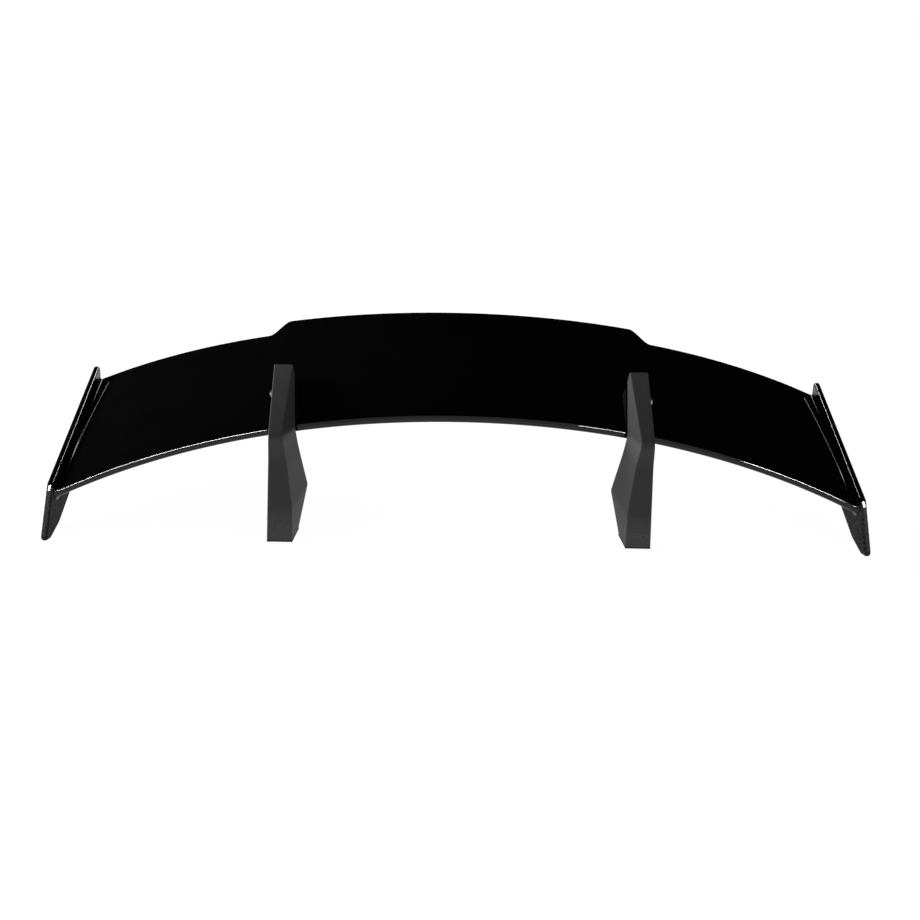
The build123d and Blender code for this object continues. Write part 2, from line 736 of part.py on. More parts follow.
def make_foot_screws():
    starts = [Vector(NECK_X, y, GASKET) for y in (-FOOT_SCREW_Y, FOOT_SCREW_Y)]
    length = BLOCK_TOP - GASKET + 12.0
    return Compound([countersunk_screw(p, (0, 0, 1), M5, length).solid() for p in starts])


def make_foot_gasket():
    front, rear = cover_stations()[0]
    gasket = extrude(cover_face(front, rear, 0.0), GASKET, dir=(0, 0, -1))
    return gasket - foot_bosses(FOOT_BOSS_RADIUS + HOLE_CLEARANCE, 0.0, GASKET)


# ---- whole model ------------------------------------------------------------------------
def make_upper_skin():
    skin = loft_along_span(lambda x: skin_face(x, True), HALF_SPAN)
    holes = clevis_screw_holes()
    return skin - holes - mirrored(holes)


def make_lower_skin():
    return loft_along_span(lambda x: skin_face(x, False), HALF_SPAN)


def side_parts():
    """Every piece that the wing has once on each side, modelled on the right."""
    return {
        "hard_point": make_hard_point(),
        "tip_rib": make_tip_rib(),
        "end_plate": make_end_plate(),
        "end_plate_screws": make_plate_screws(),
        "clevis": make_clevis(),
        "clevis_pad": make_clevis_pad(),
        "clevis_screws": make_clevis_screws(),
        "pivot_bolt": make_cross_bolt(PIVOT_ALONG, PIVOT_RADIUS, PIVOT_NUT_HEIGHT),
        "pivot_nut": make_cross_nut(PIVOT_ALONG, PIVOT_RADIUS, PIVOT_NUT_HEIGHT),
        "pivot_bush": make_pivot_bush(),
        "pivot_cap": make_pivot_cap(),
        "adjuster_bolt": make_cross_bolt(ADJUSTER_ALONG, ADJUSTER_RADIUS, ADJUSTER_NUT_HEIGHT),
        "adjuster_nut": make_cross_nut(ADJUSTER_ALONG, ADJUSTER_RADIUS, ADJUSTER_NUT_HEIGHT),
        "neck_plate": make_neck_plate(),
        "neck_cover": make_cover(),
        "cover_lid": make_lid(),
        "cover_lid_screws": make_lid_screws(),
        "foot_block": make_foot_block(),
        "foot_screws": make_foot_screws(),
        "foot_gasket": make_foot_gasket(),
    }


def main():
    parts = {
        "wing_upper_skin": make_upper_skin(),
        "wing_lower_skin": make_lower_skin(),
        "wing_spar": make_spar(),
    }
    for name, shape in side_parts().items():
        parts[name + "_right"] = shape
        parts[name + "_left"] = mirrored(shape)
    to_origin = Pos(0, -BOX_MIDDLE_Y, -BOX_BOTTOM_Z)
    os.makedirs("parts", exist_ok=True)
    for name, shape in parts.items():
        export_step(to_origin * shape, f"parts/{name}.step")


main()
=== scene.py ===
"""Looks of a racing rear wing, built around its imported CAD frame.

The moulded skins, the end plates and the upright covers are rebuilt here as smooth meshes.
They are drawn in millimetres from the point midway between the feet, and placed by the frame.
Every other piece is the CAD solid itself, with a procedural material.
"""

import json
import math

import bmesh
import bpy
from mathutils import Matrix, Quaternion, Vector


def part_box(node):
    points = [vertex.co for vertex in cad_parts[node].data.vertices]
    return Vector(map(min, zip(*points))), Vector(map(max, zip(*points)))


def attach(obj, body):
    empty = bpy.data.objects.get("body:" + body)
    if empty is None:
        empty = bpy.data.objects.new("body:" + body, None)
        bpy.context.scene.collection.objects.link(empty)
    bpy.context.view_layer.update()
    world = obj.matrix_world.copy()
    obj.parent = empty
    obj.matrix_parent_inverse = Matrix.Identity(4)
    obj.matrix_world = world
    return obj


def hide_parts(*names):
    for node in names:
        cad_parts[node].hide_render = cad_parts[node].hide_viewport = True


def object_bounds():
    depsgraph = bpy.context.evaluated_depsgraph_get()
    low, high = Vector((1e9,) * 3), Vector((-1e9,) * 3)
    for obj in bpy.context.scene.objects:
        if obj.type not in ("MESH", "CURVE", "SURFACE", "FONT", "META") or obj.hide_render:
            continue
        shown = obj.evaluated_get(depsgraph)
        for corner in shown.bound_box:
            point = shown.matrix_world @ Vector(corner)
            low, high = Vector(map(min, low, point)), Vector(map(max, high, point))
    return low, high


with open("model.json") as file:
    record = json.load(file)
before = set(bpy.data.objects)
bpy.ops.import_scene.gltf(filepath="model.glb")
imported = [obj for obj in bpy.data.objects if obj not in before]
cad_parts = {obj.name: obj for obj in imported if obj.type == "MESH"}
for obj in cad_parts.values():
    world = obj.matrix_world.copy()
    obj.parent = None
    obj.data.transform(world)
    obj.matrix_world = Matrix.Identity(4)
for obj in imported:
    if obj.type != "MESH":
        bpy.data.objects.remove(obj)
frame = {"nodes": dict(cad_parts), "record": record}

cad_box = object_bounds()

MM = 0.001
SIDES = {"right": 1.0, "left": -1.0}

# ---- wing planform, arch and section (mm, degrees) ----------------------------------------
ARCH_SPAN = 700.0
LEAD_Y = 85.0
LEAD_Z = 186.0
SWEEP = 54.0
ARCH_DROP = 114.0
ARCH_TIP_DROP = 23.0
INCIDENCE = math.radians(12.1)
CHORD_MIDDLE = 282.0
CHORD_TIP_GAIN = 41.0
REAR_EXTENSION = 40.0
STEP_INNER = 327.0
STEP_OUTER = 366.0
HALF_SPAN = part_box("wing_upper_skin")[1].x / MM
NOSE_RADIUS = 7.5
TRAILING_THICKNESS = 4.5
TRAILING_ROUND = 0.8
SKIN = 2.6
BOND = 20.0
UPPER_NOSE_ANGLE = 105.0
LOWER_NOSE_ANGLE = 250.0
UPPER_HANDLE = 30.0
LOWER_HANDLE = 70.0
UPPER_REAR_HANDLE = (110.0, 9.0)
LOWER_REAR_HANDLE = (100.0, -16.0)
PARTING_DEPTH = 0.7
PARTING_HALF_WIDTH = 0.45
UPPER_FILLET = 8.0
LOWER_FILLET = 5.0
NOSE_STEPS = 12                   # mesh points round a section
OUTER_STEPS = 56
INNER_STEPS = 40
ROUNDING_STEPS = 4
MIDDLE_STATIONS = 33              # sections along half the span
STEP_STATIONS = 20
OUTER_STATIONS = 34
FILLET_STATIONS = 10

# ---- end plates ---------------------------------------------------------------------------
PLATE_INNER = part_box("end_plate_right")[0].x / MM
PLATE_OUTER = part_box("end_plate_right")[1].x / MM
PLATE_EDGE_RADIUS = 4.5
PLATE_CORNERS = (                 # y, z and rounding radius
    (366.0, 146.0, 8.0),
    (33.0, 76.0, 16.0),
    (-41.0, 4.0, 7.0),
    (-16.0, -5.0, 14.0),
    (32.0, -4.0, 60.0),
    (347.0, 72.0, 16.0),
)
PLATE_SCREW_ALONG = (42.0, 120.0, 225.0)
PLATE_SCREW_ABOVE = -3.0
GRAIN_FREE_RIM = 2.0              # the outer face of a plate stays glossy this deep
GRAIN_RISE_AHEAD = 18.0           # the grain reaches this far above the chord ahead of the wing
M5 = (2.55, 4.75, 3.2)            # hole radius, head radius, head height
GRAIN_ROUGHNESS = 0.55
GRAIN_DEPTH = 0.0012              # metres
LACQUER_COAT = 0.6                # weight of the clear coat on the gloss pieces
TOOL_OVERSHOOT = 2.0              # cutting tools pass the faces by this much

# ---- upright covers -----------------------------------------------------------------------
NECK_X = 314.0
NECK_HALF_THICKNESS = 4.0
OUTER_X = 331.7
OUTER_TOE = 0.0827
OUTER_LEAN = -0.0583
COVER_WALL = 2.5
COVER_EDGE = 2.0
LID_THICKNESS = 3.0
LID_GAP = 0.25
LID_FOOT_GAP = 0.5
LID_EDGE = 0.5
LID_EDGE_BEND = 0.3               # where the rounded rim's middle ring lies, as a share of it
ARM_TOP = 39.0
ARM_BOTTOM = 18.5
ARM_END = 141.0
ARM_HALF_SIZE = 11.0              # mean distance from the arm's middle to its outside
ARM_END_STEPS = 4
GASKET = 3.0
COVER_FRONT_LEG = ((286.5, -21.0, GASKET), (286.0, -6.4, 61.0), (294.5, 14.0, 144.0))
COVER_FRONT_ARM = ((-60.0, ARM_TOP, 299.0), (ARM_END, ARM_TOP, 302.0))     # along, above, x
COVER_FRONT_REACHES = (6.0, 8.0, 16.0)
COVER_REAR_LEG = ((280.0, 21.0, GASKET), (268.0, 77.0, 58.0), (279.5, 63.0, 146.0))
COVER_REAR_ARM = ((-7.4, ARM_BOTTOM, 283.0), (ARM_END - 2.0, ARM_BOTTOM, 300.0))
COVER_REAR_REACHES = (4.0, 20.0, 4.0)
CAVITY_PAST_OUTSIDE = 8.0
OPENING_ABOVE = (10.0, 24.0)      # the slot under the arm: heights, outer side and inner ends
OPENING_OUTER_X = 345.0
OPENING_ENDS = ((41.0, 292.5), (ARM_END - 2 * COVER_WALL, 302.5))          # along, x
LID_SCREWS = ((13.0, 88.0), (52.0, 66.0), (38.0, 152.0))
LID_SCREW_SINK = 0.7
M4 = (2.05, 3.65, 2.4)
BOSS_RADIUS = 5.0
BOSS_GAP = 0.1
DRILL_DEPTH = 30.0
PIVOT_ALONG = 72.0
PIVOT_ABOVE = 26.5
PIVOT_WINDOW = 5.0
PIVOT_WINDOW_REACH = (8.0, 30.0)  # from the middle of the neck plate

# ---- lights and camera (radiance for every glow, metres unless said otherwise) --------------
ROOM_GLOW = 0.08
ROOM_SIDE_GLOW = 0.75
HORIZON_GLOW = 0.14
FRONT_GLOW = 0.3
BACKDROP_GLOW = 1.02
FLOOR_GLOW = 0.97
FLOOR_BOUNCE = 0.42
FLOOR_RADIUS = 9.0
FLOOR_SIDES = 64
FLOOR_GAP = 0.0005

# each light has two ends, a target, a width and a glow
SIDE_LIGHT = ((-2.8, 0.2, 0.75), (-2.8, 1.4, 0.75), (0.3, -0.1, 0.25), 0.8, 73.0)
PLATE_STRIP = ((-0.6, 0.78, 0.62), (0.5, 0.78, 0.62), (0.0, 0.0, 0.2), 0.05, 35.0)

# tubes above and ahead of the nose: name, both ends in drawing millimetres, width, glow
NOSE_TUBES = (
    ("nose_tube_left", (-1030.0, -205.0, 410.0), (-450.0, -175.0, 508.0), 0.025, 90.0),
    ("nose_tube_middle", (284.0, -189.0, 528.0), (446.0, -185.0, 500.0), 0.02, 72.0),
    ("nose_tube_right", (692.0, -180.0, 451.0), (1030.0, -205.0, 410.0), 0.03, 90.0),
)
TUBE_AIM = 0.67                   # a tube faces the nose at this share of its own x

CAMERA_PLACE = (-47.2, -1585.3, 1072.9)                                    # drawing millimetres
CAMERA_PITCH = math.radians(30.0)
CAMERA_YAW = math.radians(-1.584)
CAMERA_ROLL = math.radians(1.996)
CAMERA_LENS = 43.04
CAMERA_SENSOR = 36.0
CAMERA_REACH = 60.0

# the drawing point in the frame: the middle of a gasket's depth, level with its underside
gasket_low, gasket_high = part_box("foot_gasket_right")
DRAWING_Y = (gasket_low.y + gasket_high.y) / 2
DRAWING_Z = gasket_low.z


# ---- mesh helpers -------------------------------------------------------------------------
def to_frame(point, side=1.0):
    """From drawing millimetres to frame metres, mirrored for the left side."""
    return Vector((point[0] * MM * side, point[1] * MM + DRAWING_Y, point[2] * MM + DRAWING_Z))


def mesh_object(name, vertices, faces, sharp_angle=35.0):
    """A closed mesh with outward normals, shaded smooth except at its real edges."""
    mesh = bpy.data.meshes.new(name)
    mesh.from_pydata([tuple(v) for v in vertices], [], faces)
    tidy = bmesh.new()
    tidy.from_mesh(mesh)
    bmesh.ops.recalc_face_normals(tidy, faces=tidy.faces)
    tidy.to_mesh(mesh)
    tidy.free()
    obj = bpy.data.objects.new(name, mesh)
    bpy.context.scene.collection.objects.link(obj)
    shade(obj, sharp_angle)
    return obj


def shade(obj, sharp_angle):
    """Smooth shading that breaks at edges sharper than the angle in degrees."""
    obj.data.shade_smooth()
    obj.data.set_sharp_from_angle(angle=math.radians(sharp_angle))


def keep_flats_flat(obj):
    """Lets the large faces decide the shading, so that roundings don't tint them."""
    modifier = obj.modifiers.new("weighted_normals", "WEIGHTED_NORMAL")
    modifier.mode = "FACE_AREA"
    modifier.keep_sharp = True


def ring_faces(ring_count, ring_size):
    """Quads between closed rings, and one face on each end."""
    faces = []
    for ring in range(ring_count - 1):
        for i in range(ring_size):
            j = (i + 1) % ring_size
            low, high = ring * ring_size, (ring + 1) * ring_size
            faces.append((low + i, low + j, high + j, high + i))
    last = (ring_count - 1) * ring_size
    faces.append(tuple(range(ring_size)))
    faces.append(tuple(last + i for i in range(ring_size)))
    return faces


def rings_object(name, rings, side=1.0, sharp_angle=35.0):
    """A closed mesh through rings of drawing points."""
    vertices = [to_frame(point, side) for ring in rings for point in ring]
    return mesh_object(name, vertices, ring_faces(len(rings), len(rings[0])), sharp_angle)


def lathe_along_x(profile, centre, side, segments=32):
    """Round cutting or filling tool about an axis parallel to X, from (x, radius) pairs."""
    rings = []
    for x, radius in profile:
        ring = []
        for step in range(segments):
            angle = 2 * math.pi * step / segments
            ring.append((x, centre[0] + radius * math.cos(angle), centre[1] + radius * math.sin(angle)))
        rings.append(ring)
    return rings_object("tool", rings, side)


def combine(obj, tool, operation, sharp_angle=35.0):
    """Boolean of two closed meshes. The tool is used up."""
    modifier = obj.modifiers.new("boolean", "BOOLEAN")
    modifier.object = tool
    modifier.operation = operation
    modifier.solver = "EXACT"
    bpy.context.view_layer.update()
    evaluated = obj.evaluated_get(bpy.context.evaluated_depsgraph_get())
    mesh = bpy.data.meshes.new_from_object(evaluated)
    obj.modifiers.clear()
    obj.data = mesh
    bpy.data.objects.remove(tool)
    shade(obj, sharp_angle)
    return obj


def arc(centre, radius, start, end, steps):
    """Points of an arc, angles in degrees, both ends included."""
    angles = [math.radians(start + (end - start) * i / steps) for i in range(steps + 1)]
    return [(centre[0] + radius * math.cos(a), centre[1] + radius * math.sin(a)) for a in angles]


def bezier(controls, steps):
    """Points of a cubic curve in the plane, both ends included."""
    points = []
    for i in range(steps + 1):
        t = i / steps
        weights = ((1 - t) ** 3, 3 * t * (1 - t) ** 2, 3 * t**2 * (1 - t), t**3)
        points.append(tuple(sum(w * c[axis] for w, c in zip(weights, controls)) for axis in (0, 1)))
    return points


# ---- wing skins ---------------------------------------------------------------------------
def rear_step(x):
    """1 over the middle part, 0 over the outer parts, a smooth S between them."""
    ratio = min(max((abs(x) - STEP_INNER) / (STEP_OUTER - STEP_INNER), 0.0), 1.0)
    return (1.0 + math.cos(math.pi * ratio)) / 2.0


def chord(x):
    """Length from nose to trailing edge."""
    return CHORD_MIDDLE + CHORD_TIP_GAIN * (x / ARCH_SPAN) ** 2 + REAR_EXTENSION * rear_step(x)


def wing_point(x, along, above):
    """A point given along and above the chord at one span position."""
    ratio = x / ARCH_SPAN
    lead_y = LEAD_Y - SWEEP * ratio**2
    lead_z = LEAD_Z - ARCH_DROP * ratio**2 - ARCH_TIP_DROP * ratio**4
    cosine, sine = math.cos(INCIDENCE), math.sin(INCIDENCE)
    return (x, lead_y + along * cosine - above * sine, lead_z + along * sine + above * cosine)


def surface_controls(length, upper, inset):
    """Curve from the nose arc to the trailing edge, outer (inset 0) or inner (inset SKIN)."""
    angle = math.radians(UPPER_NOSE_ANGLE if upper else LOWER_NOSE_ANGLE)
    handle = UPPER_HANDLE if upper else LOWER_HANDLE
    back, height = UPPER_REAR_HANDLE if upper else LOWER_REAR_HANDLE
    side = 1.0 if upper else -1.0
    radius = NOSE_RADIUS - inset
    start = (NOSE_RADIUS + radius * math.cos(angle), radius * math.sin(angle))
    second = (start[0] + handle * side * math.sin(angle), start[1] - handle * side * math.cos(angle))
    third = (length - back, height - side * inset)
    end = (length, side * TRAILING_THICKNESS / 2) if inset == 0 else (length - BOND, 0.0)
    return (start, second, third, end)


def tip_lift(x, radius):
    """Rise of the moulded fillet where a skin meets the end plate."""
    inward = abs(x) - (HALF_SPAN - radius)
    if inward <= 0:
        return 0.0
    return radius - math.sqrt(max(radius**2 - inward**2, 0.0))


def lifted(points, lift, flat_count):
    """Outer line moved along its normal, growing from nothing over the first few points."""
    result = []
    for i, point in enumerate(points):
        before, after = points[max(i - 1, 0)], points[min(i + 1, len(points) - 1)]
        run = Vector((after[0] - before[0], after[1] - before[1])).normalized()
        share = min(i / flat_count, 1.0)
        result.append((point[0] - run.y * lift * share, point[1] + run.x * lift * share))
    return result


def skin_section(x, upper):
    """Closed outline of a skin at one span position, in chord coordinates."""
    length = chord(x)
    side = 1.0 if upper else -1.0
    nose = (NOSE_RADIUS, 0.0)
    gap_angle = side * math.degrees(math.asin(PARTING_HALF_WIDTH / NOSE_RADIUS))
    handover = UPPER_NOSE_ANGLE if upper else LOWER_NOSE_ANGLE
    outer = arc(nose, NOSE_RADIUS, 180.0 - gap_angle, handover, NOSE_STEPS)
    outer += bezier(surface_controls(length, upper, 0), OUTER_STEPS)[1:]
    lift = tip_lift(x, UPPER_FILLET if upper else LOWER_FILLET)
    outer = lifted(outer, lift * side, NOSE_STEPS)
    tail = outer.pop()
    rounding_centre = (tail[0] - TRAILING_ROUND, tail[1] - side * TRAILING_ROUND)
    rounding = arc(rounding_centre, TRAILING_ROUND, side * 90.0, 0.0, ROUNDING_STEPS)
    inner = arc(nose, NOSE_RADIUS - SKIN, 180.0, handover, NOSE_STEPS)
    inner += bezier(surface_controls(length, upper, SKIN), INNER_STEPS)[1:]
    return [(PARTING_DEPTH, 0.0)] + outer + rounding + [(length, 0.0)] + inner[::-1]


def span_stations():
    """Span positions, closer together on the steps and on the tip fillets."""
    places = {0.0}
    stretches = (
        (0.0, STEP_INNER, MIDDLE_STATIONS),
        (STEP_INNER, STEP_OUTER, STEP_STATIONS),
        (STEP_OUTER, HALF_SPAN - UPPER_FILLET, OUTER_STATIONS),
    )
    for start, end, count in stretches:
        places.update(start + (end - start) * i / count for i in range(count + 1))
    for i in range(FILLET_STATIONS + 1):
        swing = math.pi / 2 * i / FILLET_STATIONS
        places.add(HALF_SPAN - UPPER_FILLET * (1 - math.sin(swing)))
    right = sorted(places)
    return [-x for x in reversed(right[1:])] + right


def make_skin(name, upper):
    """One hollow moulding from tip to tip."""
    rings = []
    for x in span_stations():
        rings.append([wing_point(x, along, above) for along, above in skin_section(x, upper)])
    return rings_object(name, rings, sharp_angle=50.0)


# ---- end plates ---------------------------------------------------------------------------
def plate_outline(inset):
    """Rounded outline of the end plate in (y, z), moved inwards by the inset."""
    points = []
    count = len(PLATE_CORNERS)
    for i, (y, z, radius) in enumerate(PLATE_CORNERS):
        corner = Vector((y, z))
        to_last = (Vector(PLATE_CORNERS[i - 1][:2]) - corner).normalized()
        to_next = (Vector(PLATE_CORNERS[(i + 1) % count][:2]) - corner).normalized()
        half = to_last.angle(to_next) / 2
        centre = corner + (to_last + to_next).normalized() * radius / math.sin(half)
        first = (corner + to_last * radius / math.tan(half)) - centre
        last = (corner + to_next * radius / math.tan(half)) - centre
        swing = first.angle_signed(last)
        start = math.atan2(first.y, first.x)
        steps = 14
        for step in range(steps + 1):
            angle = start - swing * step / steps
            points.append(centre + Vector((math.cos(angle), math.sin(angle))) * (radius - inset))
    return points


def countersink_tool(face_x, inward, centre, size, side, depth):
    """Tool for a countersunk hole that runs inwards from a face."""
    hole, head, height = size
    profile = (
        (face_x - inward * TOOL_OVERSHOOT, head),
        (face_x, head),
        (face_x + inward * height, hole),
        (face_x + inward * depth, hole),
    )
    return lathe_along_x(profile, centre, side)


def make_end_plate(name, side):
    """Plate with rounded edges and three countersunk holes."""
    rings = []
    steps = 8
    swings = [math.pi / 2 * i / steps for i in range(steps + 1)]
    edge = [(PLATE_EDGE_RADIUS * (1 - math.sin(a)), PLATE_EDGE_RADIUS * (1 - math.cos(a))) for a in swings]
    for inset, depth in edge:
        rings.append([(PLATE_INNER + depth, y, z) for y, z in plate_outline(inset)])
    for inset, depth in reversed(edge):
        rings.append([(PLATE_OUTER - depth, y, z) for y, z in plate_outline(inset)])
    plate = rings_object(name, rings, side)
    for along in PLATE_SCREW_ALONG:
        _, y, z = wing_point(HALF_SPAN, along, PLATE_SCREW_ABOVE)
        depth = PLATE_OUTER - PLATE_INNER + TOOL_OVERSHOOT
        tool = countersink_tool(PLATE_OUTER, -1.0, (y, z), M5, side, depth)
        combine(plate, tool, "DIFFERENCE")
    keep_flats_flat(plate)
    return plate


# ---- upright covers -----------------------------------------------------------------------
def neck_point(along, above, x=NECK_X):
    """A point in the upright's own chord coordinates, which are the wing's at NECK_X."""
    _, y, z = wing_point(NECK_X, along, above)
    return Vector((x, y, z))


def outer_x(point):
    """X of the upright's flat outer side, which leans and toes a little."""
    return OUTER_X + OUTER_TOE * point.y + OUTER_LEAN * point.z


def soft_track(corners, reaches, steps=10):
    """A track through the corners, with the inner ones rounded off by parabolas."""
    track = [corners[0]]
    for i, reach in enumerate(reaches):
        before, corner, after = corners[i], corners[i + 1], corners[i + 2]
        start = corner + (before - corner).normalized() * reach
        end = corner + (after - corner).normalized() * reach
        for step in range(steps + 1):
            t = step / steps
            track.append(start * (1 - t) ** 2 + corner * (2 * t * (1 - t)) + end * t**2)
    return track + [corners[-1]]


def cover_track(leg, arm, reaches):
    """A soft track up the leg, given by points, and along the arm, given by neck points."""
    corners = [Vector(point) for point in leg] + [neck_point(*point) for point in arm]
    return soft_track(corners, reaches)


def cover_stations():
    """Pairs of front and rear points on the cover's inner side, from foot to arm end."""
    front = cover_track(COVER_FRONT_LEG, COVER_FRONT_ARM, COVER_FRONT_REACHES)
    rear = cover_track(COVER_REAR_LEG, COVER_REAR_ARM, COVER_REAR_REACHES)
    return list(zip(front, rear))


def moved_along(point, neighbour, distance):
    """The point, moved towards its neighbour."""
    return point + (neighbour - point).normalized() * distance


def inset_stations(inset, foot_rise, end_gap):
    """The stations moved in from the walls, with both ends moved along their tracks."""
    stations = []
    for front, rear in cover_stations():
        across = Vector((0, rear.y - front.y, rear.z - front.z)).normalized() * inset
        inwards = Vector((inset, 0, 0))
        stations.append((front + across + inwards, rear - across + inwards))
    foot = tuple(moved_along(a, b, foot_rise) for a, b in zip(stations[0], stations[1]))
    end = tuple(moved_along(a, b, end_gap) for a, b in zip(stations[-1], stations[-2]))
    return [foot] + stations[1:-1] + [end]


def section_corners(front, rear, outer_gain):
    """Four corners of a section, with the outer side moved out by the gain."""
    front_outer = Vector((outer_x(front) + outer_gain, front.y, front.z))
    rear_outer = Vector((outer_x(rear) + outer_gain, rear.y, rear.z))
    return [front_outer, rear_outer, rear, front]


def rounded_ring(corners, radius, steps=4):
    """Closed ring through the corners, each rounded off."""
    ring = []
    for i, corner in enumerate(corners):
        before, after = corners[i - 1], corners[(i + 1) % len(corners)]
        start = moved_along(corner, before, radius)
        end = moved_along(corner, after, radius)
        for step in range(steps + 1):
            t = step / steps
            ring.append(start * (1 - t) ** 2 + corner * (2 * t * (1 - t)) + end * t**2)
    return ring


def shrunk(ring, share):
    """The ring, scaled about its middle."""
    middle = sum(ring, Vector()) / len(ring)
    return [middle + (point - middle) * share for point in ring]


def cover_rings():
    """Outside of the cover, with a rounded-off end on the arm."""
    rings = [rounded_ring(section_corners(a, b, 0.0), COVER_EDGE) for a, b in cover_stations()]
    last, previous = rings[-1], rings[-2]
    back = (sum(previous, Vector()) - sum(last, Vector())).normalized()
    end_rings = []
    for step in range(ARM_END_STEPS + 1):
        swing = math.pi / 2 * step / ARM_END_STEPS
        share = 1 - COVER_EDGE * (1 - math.cos(swing)) / ARM_HALF_SIZE
        depth = COVER_EDGE * (1 - math.sin(swing))
        end_rings.append([point + back * depth for point in shrunk(last, share)])
    return rings[:-1] + end_rings


def make_cover(name, side):
    """Channel-shaped shell, open at the foot, on the outer side and under the arm."""
    cover = rings_object(name, cover_rings(), side)
    inner = inset_stations(COVER_WALL, -TOOL_OVERSHOOT, COVER_WALL)
    cavity = [section_corners(front, rear, CAVITY_PAST_OUTSIDE) for front, rear in inner]
    combine(cover, rings_object("tool", cavity, side), "DIFFERENCE")
    low, high = OPENING_ABOVE
    opening = []
    for along, inner_x in OPENING_ENDS:
        corners = ((low, inner_x), (low, OPENING_OUTER_X), (high, OPENING_OUTER_X), (high, inner_x))
        opening.append([neck_point(along, above, x) for above, x in corners])
    combine(cover, rings_object("tool", opening, side), "DIFFERENCE")
    keep_flats_flat(cover)
    return cover


def lid_ring(inset, depth):
    """Outline of the lid, moved inwards by the inset, at a depth under its outer face."""
    wall = COVER_WALL + LID_GAP + inset
    stations = inset_stations(wall, LID_FOOT_GAP + inset, wall)
    loop = [front for front, _ in stations] + [rear for _, rear in reversed(stations)]
    return [Vector((outer_x(point) - depth, point.y, point.z)) for point in loop]


def make_lid(name, side):
    """Flat lid with a softened rim, bosses towards the neck plate, screw holes and a window."""
    bend = LID_EDGE * LID_EDGE_BEND
    profile = ((LID_EDGE, 0.0), (bend, bend), (0.0, LID_EDGE), (0.0, LID_THICKNESS))
    rings = [lid_ring(inset, depth) for inset, depth in profile]
    lid = rings_object(name, rings, side, sharp_angle=60.0)
    for y, z in LID_SCREWS:
        face_x = OUTER_X + OUTER_TOE * y + OUTER_LEAN * z
        boss_start = NECK_X + NECK_HALF_THICKNESS + BOSS_GAP
        boss = ((boss_start, BOSS_RADIUS), (face_x - LID_THICKNESS / 2, BOSS_RADIUS))
        combine(lid, lathe_along_x(boss, (y, z), side), "UNION")
    for y, z in LID_SCREWS:
        face_x = OUTER_X + OUTER_TOE * y + OUTER_LEAN * z - LID_SCREW_SINK
        combine(lid, countersink_tool(face_x, -1.0, (y, z), M4, side, DRILL_DEPTH), "DIFFERENCE")
    pivot = neck_point(PIVOT_ALONG, PIVOT_ABOVE)
    window = [(NECK_X + reach, PIVOT_WINDOW) for reach in PIVOT_WINDOW_REACH]
    combine(lid, lathe_along_x(window, (pivot.y, pivot.z), side), "DIFFERENCE")
    keep_flats_flat(lid)
    return lid


# ---- materials ----------------------------------------------------------------------------
class Wiring:
    """Nodes and links of a material or a world."""

    def __init__(self, tree):
        self.nodes = tree.nodes
        self.links = tree.links

    def link(self, source, target):
        self.links.new(source, target)

    def math(self, operation, first, second):
        """Result of a calculation with two values, each a number or a socket."""
        node = self.nodes.new("ShaderNodeMath")
        node.operation = operation
        for socket, value in zip(node.inputs, (first, second)):
            if isinstance(value, float):
                socket.default_value = value
            else:
                self.link(value, socket)
        return node.outputs[0]

    def mix_shaders(self, factor, first, second):
        """The first shader where the factor is 0, the second where it is 1."""
        node = self.nodes.new("ShaderNodeMixShader")
        self.link(factor, node.inputs["Fac"])
        self.link(first, node.inputs[1])
        self.link(second, node.inputs[2])
        return node.outputs["Shader"]


